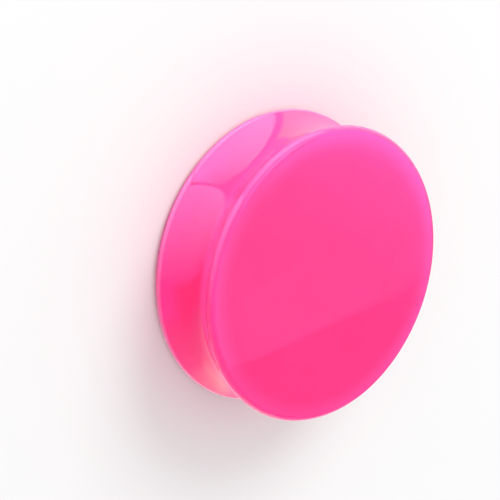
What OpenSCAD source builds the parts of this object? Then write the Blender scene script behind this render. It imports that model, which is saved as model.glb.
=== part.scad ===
// A solid double-flared ear plug: a saddle-shaped waist between two round flares with flat faces.
// It lies on its back face, with its axis upright and its origin at the middle of that face.

/* [Gauge] */
// Diameter of the waist, where the ear lobe sits
gauge_d = 25.4; // [12:0.1:51]

/* [Flares] */
// Height that each flare stands out over the waist
flare_h = 1.3; // [0.8:0.1:2.4]
// Distance along the axis between the crests of the two flares
crest_span = 7.15; // [5:0.05:12]
// Radius of the round lip around each flare
lip_r = 0.6; // [0.3:0.05:0.8]

/* [Hidden] */

// Circles and turned surfaces are taken as true ones
$fn = 180;

waist_r = gauge_d / 2;
crest_r = waist_r + flare_h;

// Each lip is a circle whose centre lies in its crest's plane
lip_centre_r = crest_r - lip_r;
lip_centre_z = crest_span / 2;
half_thickness = lip_centre_z + lip_r;

// The saddle is one arc that touches the waist circle and runs tangent into both lips
lip_rise = lip_centre_r - waist_r;
saddle_r = (lip_rise * lip_rise + lip_centre_z * lip_centre_z - lip_r * lip_r) / (2 * flare_h);
saddle_centre_r = waist_r + saddle_r;

// Share of the way from a lip's centre to the saddle's centre at which the two arcs meet
meet_share = lip_r / (saddle_r + lip_r);
meet_r = lip_centre_r + meet_share * (saddle_centre_r - lip_centre_r);
meet_z = lip_centre_z * (1 - meet_share);

// Straight-sided core of the half section, up to the lips' centres and the saddle's two ends
module section_core() {
    polygon([
        [0, -half_thickness],
        [lip_centre_r, -half_thickness],
        [lip_centre_r, -lip_centre_z],
        [meet_r, -meet_z],
        [meet_r, meet_z],
        [lip_centre_r, lip_centre_z],
        [lip_centre_r, half_thickness],
        [0, half_thickness]
    ]);
}

// Half section of the plug, with the middle of its waist at height zero
module plug_section() {
    difference() {
        union() {
            section_core();
            for (side = [-1, 1])
                translate([lip_centre_r, side * lip_centre_z])
                    circle(r = lip_r);
        }
        translate([saddle_centre_r, 0])
            circle(r = saddle_r);
    }
}

// The whole plug, one solid turned about its axis
module plug() {
    color("hotpink")
        translate([0, 0, half_thickness])
            rotate_extrude()
                plug_section();
}

plug();
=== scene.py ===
"""Looks of a solid double-flared ear plug of glossy, slightly translucent hot-pink plastic."""

import sys

import logging
import math
from dataclasses import dataclass
from enum import Enum

import bmesh
import bpy
from mathutils import Matrix, Vector


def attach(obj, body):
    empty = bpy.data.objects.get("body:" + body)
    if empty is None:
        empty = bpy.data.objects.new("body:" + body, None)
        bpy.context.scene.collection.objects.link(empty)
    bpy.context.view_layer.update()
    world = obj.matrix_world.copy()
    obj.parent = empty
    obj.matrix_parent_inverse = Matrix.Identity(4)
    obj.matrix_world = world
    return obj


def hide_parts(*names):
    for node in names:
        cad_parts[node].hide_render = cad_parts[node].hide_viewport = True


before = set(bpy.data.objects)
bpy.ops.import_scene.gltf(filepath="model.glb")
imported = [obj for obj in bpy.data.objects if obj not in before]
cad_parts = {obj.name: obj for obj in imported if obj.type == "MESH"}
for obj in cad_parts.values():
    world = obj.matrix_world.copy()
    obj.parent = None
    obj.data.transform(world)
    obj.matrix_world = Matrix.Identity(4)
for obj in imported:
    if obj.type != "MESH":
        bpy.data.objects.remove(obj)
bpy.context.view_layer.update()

logging.basicConfig(level=logging.INFO, format="%(name)s: %(message)s", stream=sys.stdout)
log = logging.getLogger("ear_plug")

MM = 0.001
BODY = "root"
PLUG_NODE = "plug"

Colour = tuple[float, float, float]
BLACK: Colour = (0.0, 0.0, 0.0)

# Socket numbers of the Mix node when it mixes colours
MIX_SHARE, MIX_LOW, MIX_HIGH, MIX_RESULT = 0, 6, 7, 2


def toward(turn: float, rise: float) -> Vector:
    """Direction from the plug, from its turn and rise in degrees.

    Args:
        turn: Angle round the plug's axis, counted from the camera's side.
        rise: Angle above the floor.

    Returns:
        A vector of length 1.
    """
    level = math.cos(math.radians(rise))
    angle = math.radians(turn)
    return Vector((math.sin(angle) * level, -math.cos(angle) * level, math.sin(math.radians(rise))))


class Flow(Enum):
    """How a value runs between the two ends of a range."""

    STRAIGHT = "LINEAR"
    SMOOTH = "SMOOTHSTEP"


class Signal:
    """A number that varies over a surface. Python arithmetic on it adds Math nodes."""

    def __init__(self, shader: "Shader", socket: bpy.types.NodeSocket) -> None:
        """Wraps a socket.

        Args:
            shader: The node tree that the socket belongs to.
            socket: The output socket that carries the number.
        """
        self.shader = shader
        self.socket = socket

    def _math(self, operation: str, *values: "Signal | float") -> "Signal":
        """Adds one Math node on the given values."""
        return self.shader.signal("ShaderNodeMath", {"operation": operation}, values)

    def __add__(self, other: "Signal | float") -> "Signal":
        """Sum."""
        return self._math("ADD", self, other)

    def __sub__(self, other: "Signal | float") -> "Signal":
        """Difference."""
        return self._math("SUBTRACT", self, other)

    def __rsub__(self, other: float) -> "Signal":
        """Difference from a plain number."""
        return self._math("SUBTRACT", other, self)

    def __mul__(self, other: "Signal | float") -> "Signal":
        """Product."""
        return self._math("MULTIPLY", self, other)

    __radd__ = __add__
    __rmul__ = __mul__

    def angle_to(self, other: "Signal") -> "Signal":
        """Angle of the point (self, other) from the first axis, in degrees."""
        return self._math("ARCTAN2", other, self) * math.degrees(1.0)

    def arcsine(self) -> "Signal":
        """Arc sine, in degrees."""
        return self._math("ARCSINE", self) * math.degrees(1.0)

    def above(self, limit: float) -> "Signal":
        """1 where the value is above a limit, else 0."""
        return self._math("GREATER_THAN", self, limit)

    def ramp(self, start: float, end: float, flow: Flow = Flow.SMOOTH) -> "Signal":
        """Runs from 0 to 1 as the value goes from start to end.

        Args:
            start: Value that gives 0. It may be above end.
            end: Value that gives 1.
            flow: Whether the run is straight or eased at its ends.

        Returns:
            The eased value, kept between 0 and 1.
        """
        settings = {"interpolation_type": flow.value, "clamp": True}
        return self.shader.signal("ShaderNodeMapRange", settings, (self, start, end, 0.0, 1.0))


class Shader:
    """A material's node tree, and the one method that adds any node to it."""

    def __init__(self, name: str) -> None:
        """Starts a material with an empty node tree.

        Args:
            name: Name of the material.
        """
        self.material = bpy.data.materials.new(name)
        self.material.use_nodes = True
        self.tree = self.material.node_tree
        self.tree.nodes.clear()

    def node(
        self,
        kind: str,
        settings: dict[str, object] | None = None,
        inputs: tuple | dict = (),
    ) -> bpy.types.Node:
        """Adds a node.

        Args:
            kind: Blender's type name of the node.
            settings: The node's own properties, set before its sockets.
            inputs: Values or links of its sockets, in order, or by name or number.

        Returns:
            The new node.
        """
        made = self.tree.nodes.new(kind)
        for key, value in (settings or {}).items():
            setattr(made, key, value)
        pairs = inputs.items() if isinstance(inputs, dict) else enumerate(inputs)
        for key, value in pairs:
            if isinstance(value, Signal):
                self.tree.links.new(value.socket, made.inputs[key])
            else:
                made.inputs[key].default_value = value
        return made

    def signal(
        self,
        kind: str,
        settings: dict[str, object] | None = None,
        inputs: tuple | dict = (),
        output: int | str = 0,
    ) -> Signal:
        """Adds a node and gives one of its outputs.

        Args:
            kind: Blender's type name of the node.
            settings: The node's own properties.
            inputs: Values or links of its sockets.
            output: Name or number of the output.

        Returns:
            That output.
        """
        return Signal(self, self.node(kind, settings, inputs).outputs[output])

    def split(self, vector: Signal) -> tuple[Signal, Signal, Signal]:
        """The three coordinates of a vector."""
        parts = self.node("ShaderNodeSeparateXYZ", inputs=(vector,)).outputs
        return tuple(Signal(self, part) for part in parts)

    def place(self) -> Signal:
        """The point on the piece, in metres."""
        return self.signal("ShaderNodeTexCoord", output="Object")

    def length(self, vector: Signal) -> Signal:
        """Length of a vector."""
        settings = {"operation": "LENGTH"}
        return self.signal("ShaderNodeVectorMath", settings, (vector,), "Value")

    def dot(self, vector: Signal, fixed: Vector) -> Signal:
        """How far a vector reaches along a fixed direction."""
        settings = {"operation": "DOT_PRODUCT"}
        return self.signal("ShaderNodeVectorMath", settings, (vector, fixed), "Value")

    def noise(self, place: Signal, feature: float, detail: float = 0.0) -> Signal:
        """Smooth random clouds.

        Args:
            place: The point on the piece.
            feature: Rough size of one cloud, in metres.
            detail: How many finer layers lie on it.

        Returns:
            A value round 0.5.
        """
        inputs = {"Vector": place, "Scale": 1.0 / feature, "Detail": detail, "Roughness": 0.5}
        return self.signal("ShaderNodeTexNoise", {"noise_dimensions": "3D"}, inputs, "Fac")

    def blend(self, share: Signal, low: "Signal | Colour", high: "Signal | Colour") -> Signal:
        """Mixes two colours.

        Args:
            share: How much of the second colour shows, from 0 to 1.
            low: Colour at share 0.
            high: Colour at share 1.

        Returns:
            The mixed colour.
        """
        low, high = (c if isinstance(c, Signal) else (*c, 1.0) for c in (low, high))
        settings = {"data_type": "RGBA", "clamp_result": False}
        inputs = {MIX_SHARE: share, MIX_LOW: low, MIX_HIGH: high}
        return self.signal("ShaderNodeMix", settings, inputs, MIX_RESULT)

    def finish(self, surface: Signal) -> bpy.types.Material:
        """Joins the surface to the output and gives the material."""
        self.node("ShaderNodeOutputMaterial", inputs={"Surface": surface})
        return self.material


@dataclass(frozen=True)
class PinkAcrylic:
    """Polished hot-pink plastic, coloured all the way through.

    The lips are painted paler, a painted glow for light coming through the thin plastic, and so is the
    waist just behind the front lip. Their crests carry a painted highlight, strongest at the back.
    The pigment is faintly cloudy, the polish is faintly uneven, and a few tiny specks of pigment
    lie near the surface.
    """

    deep: Colour = (0.995, 0.031, 0.160)
    # Painted glow: the lips' paler colour stands in for light coming through the thin plastic
    lip: Colour = (0.995, 0.053, 0.228)
    # Painted highlight along the lips' crests
    crest: Colour = (0.995, 0.15, 0.33)
    crest_highlight_width: float = 0.14 * MM
    front_crest_highlight: float = 0.2
    crest_highlight_depths: tuple[float, float] = (0.6, 0.8)
    # Painted glow on the waist just behind the front lip, for light coming through that lip
    painted_neck_glow: Colour = (0.995, 0.080, 0.34)
    painted_neck_glow_near: tuple[float, float] = (0.6 * MM, 1.2 * MM)
    painted_neck_glow_far: tuple[float, float] = (3.6 * MM, 2.5 * MM)
    cloud: Colour = (0.985, 0.025, 0.140)
    cloud_size: float = 5.0 * MM
    cloud_share: float = 0.45
    cloud_range: tuple[float, float] = (0.35, 0.7)
    cloud_detail: float = 3.0
    speck: Colour = (0.80, 0.012, 0.085)
    speck_spacing: float = 1.9 * MM
    speck_size: float = 0.07 * MM
    speck_core: float = 0.3
    speck_chance: float = 0.06
    speck_full: float = 0.5
    roughness: tuple[float, float] = (0.01, 0.03)
    haze_size: float = 3.0 * MM
    haze_range: tuple[float, float] = (0.3, 0.75)
    haze_detail: float = 2.0
    wave_size: float = 7.0 * MM
    wave_height: float = 0.0006 * MM
    ior: float = 1.49
    scatter_depth: float = 2.4 * MM
    scatter_share: Colour = (1.0, 0.35, 0.5)

    def _colour(self, shader: Shader, place: Signal, plug: "EarPlug") -> Signal:
        """Colour: clouds, specks, painted glow on the lips and behind the front lip, painted crest
        highlight.
        """
        x, y, z = shader.split(place)
        depth = plug.thickness - z
        inset = plug.crest_r - shader.length(shader.signal("ShaderNodeCombineXYZ", inputs=(x, y, 0.0)))
        cloud = shader.noise(place, self.cloud_size, self.cloud_detail).ramp(*self.cloud_range)
        colour = shader.blend(cloud * self.cloud_share, self.deep, self.cloud)
        # Painted glow: paler towards the crest, for light coming through the thin lips
        colour = shader.blend(inset.ramp(plug.painted_lip_glow_width, 0.0), colour, self.lip)
        # Painted highlight along the crests: a small share of it on the front lip, all of it towards
        # the back
        start, end = (share * plug.thickness for share in self.crest_highlight_depths)
        pale = depth.ramp(start, end) * (1.0 - self.front_crest_highlight) + self.front_crest_highlight
        colour = shader.blend(inset.ramp(self.crest_highlight_width, 0.0) * pale, colour, self.crest)
        # Painted glow on the waist just behind the front lip
        painted_neck_glow = depth.ramp(*self.painted_neck_glow_near) * depth.ramp(*self.painted_neck_glow_far)
        colour = shader.blend(painted_neck_glow, colour, self.painted_neck_glow)
        cells = shader.node(
            "ShaderNodeTexVoronoi",
            {"voronoi_dimensions": "3D", "feature": "F1"},
            {"Vector": place, "Scale": 1.0 / self.speck_spacing},
        )
        near = Signal(shader, cells.outputs["Distance"]) * self.speck_spacing
        pick, _, _ = shader.split(Signal(shader, cells.outputs["Color"]))
        speck = near.ramp(self.speck_size, self.speck_core * self.speck_size)
        chosen = pick.ramp(self.speck_chance, self.speck_full * self.speck_chance)
        return shader.blend(speck * chosen, colour, self.speck)

    def material(self, plug: "EarPlug") -> bpy.types.Material:
        """Makes the material.

        Args:
            plug: The plug, whose sizes place the paler lips.

        Returns:
            The material.
        """
        shader = Shader("pink_acrylic")
        place = shader.place()
        smooth, hazy = self.roughness
        haze = shader.noise(place, self.haze_size, self.haze_detail).ramp(*self.haze_range)
        wave = shader.noise(place, self.wave_size)
        bump = shader.signal(
            "ShaderNodeBump",
            inputs={"Strength": 1.0, "Distance": self.wave_height, "Height": wave},
        )
        surface = shader.signal(
            "ShaderNodeBsdfPrincipled",
            {"subsurface_method": "RANDOM_WALK"},
            {
                "Base Color": self._colour(shader, place, plug),
                "Roughness": haze * (hazy - smooth) + smooth,
                "IOR": self.ior,
                "Subsurface Weight": 1.0,
                "Subsurface Radius": self.scatter_share,
                "Subsurface Scale": self.scatter_depth,
                "Normal": bump,
            },
        )
        return shader.finish(surface)


@dataclass
class EarPlug:
    """The plug: two flat-faced round flares and the saddle-shaped waist between them."""

    gauge_r: float = 12.7 * MM
    flare_h: float = 1.3 * MM
    crest_span: float = 7.15 * MM
    lip_r: float = 0.6 * MM
    # How far in from the crest the painted lip glow reaches
    painted_lip_glow_width: float = 2.4 * MM
    roll_start: float = 10.0 * MM
    roll_drop: float = 0.045 * MM
    roll_power: int = 4
    turn_steps: int = 288
    lip_steps: int = 28
    saddle_steps: int = 48
    face_rings: int = 24
    weld: float = 0.001 * MM
    sliver: float = 0.0005 * MM
    finish: PinkAcrylic = PinkAcrylic()

    @property
    def crest_r(self) -> float:
        """Radius at the crest of a flare."""
        return self.gauge_r + self.flare_h

    @property
    def thickness(self) -> float:
        """Distance between the two flat faces."""
        return self.crest_span + 2 * self.lip_r

    @property
    def lip_centre_r(self) -> float:
        """Radius of the circle that a lip's centre runs on, which is also the flat face's edge."""
        return self.crest_r - self.lip_r

    @property
    def saddle_r(self) -> float:
        """Radius of the saddle's arc, which touches the waist and both lips."""
        rise = self.lip_centre_r - self.gauge_r
        half = self.crest_span / 2
        return (rise**2 + half**2 - self.lip_r**2) / (2 * self.flare_h)

    @property
    def saddle_half_angle(self) -> float:
        """Angle from the waist's plane to where the saddle's arc meets a lip, in radians."""
        centre_r = self.gauge_r + self.saddle_r
        return math.atan2(self.crest_span / 2, centre_r - self.lip_centre_r)

    def _arc(
        self,
        shape: bmesh.types.BMesh,
        tip: bmesh.types.BMVert,
        centre: Vector,
        angle: float,
        steps: int,
    ) -> bmesh.types.BMVert:
        """Carries the half section's tip round an arc and gives its new tip.

        Args:
            shape: The mesh that holds the half section.
            tip: Last vertex of the section so far.
            centre: Centre of the arc.
            angle: How far the arc turns about the Y axis, in radians.
            steps: Number of straight steps on the arc.

        Returns:
            The vertex at the arc's end.
        """
        made = bmesh.ops.spin(
            shape,
            geom=[tip],
            cent=centre,
            axis=Vector((0.0, 1.0, 0.0)),
            angle=angle,
            steps=steps,
            use_merge=False,
        )
        return next(v for v in made["geom_last"] if isinstance(v, bmesh.types.BMVert))

    def _line(
        self, shape: bmesh.types.BMesh, tip: bmesh.types.BMVert, end: Vector
    ) -> bmesh.types.BMVert:
        """Draws the half section's next edge in a straight line.

        Args:
            shape: The mesh that holds the half section.
            tip: Last vertex of the section so far.
            end: Where the line ends.

        Returns:
            The vertex at the line's end.
        """
        made = bmesh.ops.extrude_vert_indiv(shape, verts=[tip])
        made["verts"][0].co = end
        return made["verts"][0]

    def _half_section(self, shape: bmesh.types.BMesh) -> None:
        """Draws the section from the back face's middle round to the front face's middle.

        Args:
            shape: The mesh that gets the edges.
        """
        top = self.thickness
        back_lip = Vector((self.lip_centre_r, 0.0, self.lip_r))
        front_lip = Vector((self.lip_centre_r, 0.0, top - self.lip_r))
        saddle = Vector((self.gauge_r + self.saddle_r, 0.0, top / 2))
        lip_turn = math.pi / 2 + self.saddle_half_angle
        tip = bmesh.ops.create_vert(shape, co=Vector((0.0, 0.0, 0.0)))["vert"][0]
        rings = [self.lip_centre_r * step / self.face_rings for step in range(self.face_rings + 1)]
        for radius in rings[1:]:
            tip = self._line(shape, tip, Vector((radius, 0.0, 0.0)))
        tip = self._arc(shape, tip, back_lip, -lip_turn, self.lip_steps)
        tip = self._arc(shape, tip, saddle, 2 * self.saddle_half_angle, self.saddle_steps)
        tip = self._arc(shape, tip, front_lip, -lip_turn, self.lip_steps)
        for radius in rings[-2::-1]:
            tip = self._line(shape, tip, Vector((radius, 0.0, top)))

    def _polish(self, shape: bmesh.types.BMesh) -> None:
        """Rolls the outer edge of both faces over by a hair, as polishing does.

        Args:
            shape: The whole plug's mesh.
        """
        middle = self.thickness / 2
        width = self.lip_centre_r - self.roll_start
        for vert in shape.verts:
            way = (math.hypot(vert.co.x, vert.co.y) - self.roll_start) / width
            height = (vert.co.z - middle) / middle
            vert.co.z -= self.roll_drop * min(max(way, 0.0), 1.0) ** self.roll_power * height

    def build(self) -> bpy.types.Object:
        """Turns the half section about the plug's axis and dresses the result.

        Returns:
            The plug's object, which stands for the plain solid.
        """
        shape = bmesh.new()
        self._half_section(shape)
        bmesh.ops.spin(
            shape,
            geom=shape.verts[:] + shape.edges[:],
            cent=Vector((0.0, 0.0, 0.0)),
            axis=Vector((0.0, 0.0, 1.0)),
            angle=2 * math.pi,
            steps=self.turn_steps,
            use_merge=True,
        )
        bmesh.ops.remove_doubles(shape, verts=shape.verts[:], dist=self.weld)
        bmesh.ops.dissolve_degenerate(shape, dist=self.sliver, edges=shape.edges[:])
        self._polish(shape)
        bmesh.ops.recalc_face_normals(shape, faces=shape.faces[:])
        for face in shape.faces:
            face.smooth = True
        mesh = bpy.data.meshes.new("ear_plug")
        shape.to_mesh(mesh)
        shape.free()
        piece = bpy.data.objects.new("ear_plug", mesh)
        bpy.context.scene.collection.objects.link(piece)
        mesh.materials.append(self.finish.material(self))
        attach(piece, BODY)
        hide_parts(PLUG_NODE)
        return piece


@dataclass(frozen=True)
class TentPanel:
    """One lit sheet of the light tent, seen only in the gloss. Angles are in degrees.

    A turn is counted round the plug from the camera's side, and a rise above the horizon. Where a
    field has two values, they are those at the sheet's first and last turn.

    Attributes:
        turn: Where the sheet starts and ends at the horizon.
        foot: Rise of its lower edge.
        head: Rise of its upper edge.
        glow: Light that it sends.
        lean: Degrees of turn that each side moves for a degree of rise.
        blur: Softness of its two sides.
        foot_blur: Softness of its lower edge.
        head_blur: Softness of its upper edge.
        sag: How far the lower edge hangs below a straight line in its middle.
        dim: Share of the light that is left at its foot.
        fade: How far above its foot the sheet is fully bright.
    """

    turn: tuple[float, float]
    foot: tuple[float, float]
    head: tuple[float, float]
    glow: tuple[Colour, Colour]
    lean: tuple[float, float] = (0.0, 0.0)
    blur: tuple[float, float] = (1.5, 1.5)
    foot_blur: float = 3.0
    head_blur: float = 2.0
    sag: float = 0.0
    dim: float = 1.0
    fade: float = 60.0

    def over(self, shader: Shader, below: "Signal | Colour", turn: Signal, rise: Signal) -> Signal:
        """Hangs the sheet in front of what is already in the tent.

        Args:
            shader: The tent's shader.
            below: Light behind the sheet.
            turn: Angle round the plug.
            rise: Angle above the horizon.

        Returns:
            The light with the sheet added.
        """
        first, last = self.turn
        across = turn.ramp(first, last, Flow.STRAIGHT)
        left = (turn - rise * self.lean[0]).ramp(first, first + self.blur[0])
        right = (turn - rise * self.lean[1]).ramp(last, last - self.blur[1])
        hang = across * (1.0 - across) * (4.0 * self.sag)
        lift = rise + hang - (across * (self.foot[1] - self.foot[0]) + self.foot[0])
        drop = across * (self.head[1] - self.head[0]) + self.head[0] - rise
        shown = left * right * lift.ramp(0.0, self.foot_blur) * drop.ramp(0.0, self.head_blur)
        level = lift.ramp(0.0, self.fade, Flow.STRAIGHT) * (1.0 - self.dim) + self.dim
        glow = shader.blend(level, BLACK, shader.blend(across, *self.glow))
        return shader.blend(shown, below, glow)


@dataclass
class Studio:
    """Pale floor, soft light from above and one side, and the light tent round the plug.

    The tent is dim below the ceiling's edge, a straight line in the mirror of the front face. Its
    turns run on past 180 degrees at the seam, so that a sheet may cross the side behind the plug.
    """

    floor_r: float = 1.4
    floor_sides: int = 128
    floor_colour: Colour = (0.60, 0.60, 0.60)
    floor_roughness: float = 0.9
    sky_strength: float = 1.3
    key_turn: float = -85.0
    key_rise: float = 35.0
    key_distance: float = 0.6
    key_size: float = 0.4
    key_power: float = 2.4
    tent_r: float = 3.0
    tent_steps: tuple[int, int] = (64, 32)
    below: Colour = (0.7, 0.0, 0.3)
    ceiling: Colour = (1.5, 0.52, 1.68)
    ceiling_turn: float = -55.5
    ceiling_rise: float = 32.3
    ceiling_blur: float = 0.001
    seam_turn: float = 169.0
    under: tuple[TentPanel, ...] = (
        # Far light behind the plug, under the ceiling's edge
        TentPanel((-195.0, -168.0), (-20.0, -20.0), (70.0, 70.0), ((0.7, 0.1, 0.4), (0.7, 0.3, 1.3)),
                  blur=(1.0, 8.0), foot_blur=30.0),
        # Its brighter right end
        TentPanel((-181.5, -168.0), (-20.0, -20.0), (70.0, 70.0), ((1.0, 0.38, 1.5), (1.0, 0.38, 1.5)),
                  blur=(2.7, 8.0), foot_blur=30.0),
    )
    panels: tuple[TentPanel, ...] = (
        # Overhead
        TentPanel((-193.0, 171.0), (60.0, 60.0), (95.0, 95.0), ((2.0, 0.72, 3.6), (2.0, 0.51, 2.3)),
                  foot_blur=8.0),
        # Right side
        TentPanel((15.0, 120.0), (-15.0, -15.0), (64.0, 64.0), ((2.5, 0.05, 2.4), (1.0, 0.0, 0.75)),
                  blur=(20.0, 60.0), foot_blur=30.0, head_blur=10.0),
        # Glow along the front rim's lower right
        TentPanel((-191.0, -176.0), (-20.0, -20.0), (41.3, 41.3), ((1.0, 0.25, 0.6), (1.5, 0.47, 1.9)),
                  blur=(5.0, 1.0), foot_blur=30.0, head_blur=3.0),
        # Glow along the front rim's upper right
        TentPanel((-164.4, -168.0), (-20.0, -20.0), (42.5, 42.5), ((1.5, 0.6, 2.1), (1.5, 0.62, 2.2)),
                  lean=(-0.36, 0.0), blur=(0.4, 8.0), foot_blur=30.0, head_blur=3.5),
        # Behind, on the left
        TentPanel((-180.0, -98.0), (14.0, 14.0), (52.0, 56.0), ((4.0, 1.5, 5.9), (4.0, 1.35, 5.7)),
                  blur=(10.0, 30.0), foot_blur=20.0, head_blur=6.0),
        # Above the left side
        TentPanel((-125.0, -25.0), (30.0, 60.0), (68.0, 82.0), ((6.0, 4.3, 9.6), (6.0, 1.6, 7.0)),
                  blur=(24.0, 20.0), head_blur=12.0),
        # Low light behind the left corner
        TentPanel((-170.0, -85.0), (-90.0, -90.0), (38.5, 30.0), ((3.0, 0.4, 1.0), (3.0, 1.25, 4.2)),
                  blur=(20.0, 12.0), foot_blur=1.0, head_blur=6.0, dim=0.35, fade=85.0),
        # Low light on the left
        TentPanel((-108.0, 45.0), (-90.0, -90.0), (22.0, 22.0), ((3.0, 0.82, 3.4), (3.0, 1.35, 6.2)),
                  blur=(18.0, 20.0), foot_blur=1.0, dim=0.5, fade=70.0),
        # Upper box
        TentPanel((-180.0, -104.1), (-76.0, -42.0), (36.0, 30.0), ((0.6, 0.1, 0.0), (4.0, 2.9, 4.0)),
                  lean=(0.0, -0.2), blur=(6.0, 4.0), foot_blur=4.0, dim=0.5, fade=45.0),
        # Middle box
        TentPanel((-101.5, -31.0), (-27.0, -21.0), (30.0, 31.0), ((8.0, 4.5, 8.1), (7.5, 3.2, 8.9)),
                  lean=(-0.34, 0.1), blur=(3.5, 1.6), foot_blur=8.0, sag=29.0, dim=0.5, fade=50.0),
        # Lower box
        TentPanel((-30.3, 46.0), (-90.0, -90.0), (31.0, 36.0), ((6.0, 3.15, 7.9), (0.3, 0.05, 1.5)),
                  lean=(0.11, 0.0), blur=(1.6, 10.0), dim=0.2),
        # Warm light low on the right
        TentPanel((65.0, 168.0), (-75.0, -75.0), (34.0, 20.0), ((0.0, 0.0, 0.25), (1.8, 1.3, 1.5)),
                  blur=(10.0, 10.0), foot_blur=20.0, head_blur=20.0),
        # Warm light lower down behind it
        TentPanel((104.0, 142.0), (-44.0, -44.0), (20.0, 20.0), ((1.0, 1.1, 1.1), (1.4, 1.75, 1.5)),
                  blur=(14.0, 8.0), foot_blur=16.0, head_blur=14.0),
    )

    def _floor(self) -> bpy.types.Object:
        """Round pale floor, level with the plug's back face."""
        shape = bmesh.new()
        bmesh.ops.create_circle(shape, cap_ends=True, segments=self.floor_sides, radius=self.floor_r)
        mesh = bpy.data.meshes.new("floor")
        shape.to_mesh(mesh)
        shape.free()
        floor = bpy.data.objects.new("floor", mesh)
        bpy.context.scene.collection.objects.link(floor)
        shader = Shader("floor_paper")
        paper = shader.signal(
            "ShaderNodeBsdfPrincipled",
            inputs={
                "Base Color": (*self.floor_colour, 1.0),
                "Roughness": self.floor_roughness,
                "Specular IOR Level": 0.0,
            },
        )
        mesh.materials.append(shader.finish(paper))
        floor.visible_glossy = False
        return floor

    def _tent(self) -> bpy.types.Object:
        """Sphere of lit panels and dark seams that only gloss sees."""
        shape = bmesh.new()
        around, upward = self.tent_steps
        bmesh.ops.create_uvsphere(shape, u_segments=around, v_segments=upward, radius=self.tent_r)
        mesh = bpy.data.meshes.new("light_tent")
        shape.to_mesh(mesh)
        shape.free()
        tent = bpy.data.objects.new("light_tent", mesh)
        bpy.context.scene.collection.objects.link(tent)
        shader = Shader("tent_light")
        place = shader.place()
        unit = shader.signal("ShaderNodeVectorMath", {"operation": "NORMALIZE"}, (place,), "Vector")
        x, y, z = shader.split(unit)
        turn = (y * -1.0).angle_to(x)
        turn = turn - turn.above(self.seam_turn) * 360.0
        rise = z.arcsine()
        colour = self.below
        for panel in self.under:
            colour = panel.over(shader, colour, turn, rise)
        above_edge = shader.dot(unit, toward(self.ceiling_turn, self.ceiling_rise))
        shown = above_edge.ramp(-self.ceiling_blur, self.ceiling_blur)
        colour = shader.blend(shown, colour, self.ceiling)
        for panel in self.panels:
            colour = panel.over(shader, colour, turn, rise)
        light = shader.signal("ShaderNodeEmission", inputs={"Color": colour, "Strength": 1.0})
        shader.material.cycles.emission_sampling = "NONE"
        mesh.materials.append(shader.finish(light))
        tent.visible_camera = False
        tent.visible_diffuse = False
        tent.visible_shadow = False
        tent.visible_transmission = False
        return tent

    def _key(self) -> bpy.types.Object:
        """Large soft light from above and the left."""
        lamp = bpy.data.lights.new("key_light", "AREA")
        lamp.shape = "DISK"
        lamp.size = self.key_size
        lamp.energy = self.key_power
        holder = bpy.data.objects.new("key_light", lamp)
        holder.location = toward(self.key_turn, self.key_rise) * self.key_distance
        holder.rotation_euler = (-holder.location).to_track_quat("-Z", "Y").to_euler()
        holder.visible_glossy = False
        bpy.context.scene.collection.objects.link(holder)
        return holder

    def build(self) -> None:
        """Sets the room's light and builds the floor, the tent and the key light."""
        world = bpy.data.worlds.new("room")
        bpy.context.scene.world = world
        world.use_nodes = True
        sky = next(n for n in world.node_tree.nodes if n.type == "BACKGROUND")
        sky.inputs["Color"].default_value = (1.0, 1.0, 1.0, 1.0)
        sky.inputs["Strength"].default_value = self.sky_strength
        self._floor()
        self._tent()
        self._key()
        bpy.context.scene.view_settings.view_transform = "Standard"


@dataclass
class PhotoCamera:
    """Camera at the photograph's angle to the plug."""

    axis_angle: float = 46.7
    axis_slope: float = 20.24
    distance: float = 241.5 * MM
    pixels_per_metre: float = 152.42 / (14.0 * MM)
    target_pixel: tuple[float, float] = (324.3, 274.4)
    frame_pixels: float = 500.0
    sensor_width: float = 36.0
    clip_start: float = 10.0 * MM

    def build(self, plug: EarPlug) -> bpy.types.Object:
        """Places the camera so that the front flare's middle falls on its pixel.

        Args:
            plug: The plug that it looks at.

        Returns:
            The camera.
        """
        target = Vector((0.0, 0.0, plug.thickness - plug.lip_r))
        lean = math.radians(self.axis_angle)
        back = Vector((0.0, -math.sin(lean), math.cos(lean)))
        ahead = -back
        axis = Vector((0.0, 0.0, 1.0))
        axis_seen = (axis - ahead * axis.dot(ahead)).normalized()
        beside = ahead.cross(axis_seen)
        slope = math.radians(-self.axis_slope)
        right = axis_seen * math.cos(slope) + beside * math.sin(slope)
        up = axis_seen * math.sin(slope) - beside * math.cos(slope)
        focal = self.pixels_per_metre * self.distance
        middle = self.frame_pixels / 2
        off_x = self.target_pixel[0] - middle
        off_y = middle - self.target_pixel[1]
        aim = (ahead * focal - right * off_x - up * off_y).normalized()
        turn = ahead.rotation_difference(aim)
        right, up = turn @ right, turn @ up
        lens = bpy.data.cameras.new("photo_camera")
        lens.sensor_width = self.sensor_width
        lens.lens = focal * self.sensor_width / self.frame_pixels
        lens.clip_start = self.clip_start
        camera = bpy.data.objects.new("photo_camera", lens)
        pose = Matrix((right, up, -aim)).transposed().to_4x4()
        pose.translation = target + back * self.distance
        camera.matrix_world = pose
        bpy.context.scene.collection.objects.link(camera)
        bpy.context.scene.camera = camera
        return camera


def main() -> None:
    """Builds the plug, the studio and the camera."""
    plug = EarPlug()
    piece = plug.build()
    log.info("%s: %d faces", piece.name, len(piece.data.polygons))
    Studio().build()
    log.info("studio built")
    PhotoCamera().build(plug)
    log.info("camera placed")


if __name__ == "__main__":
    main()
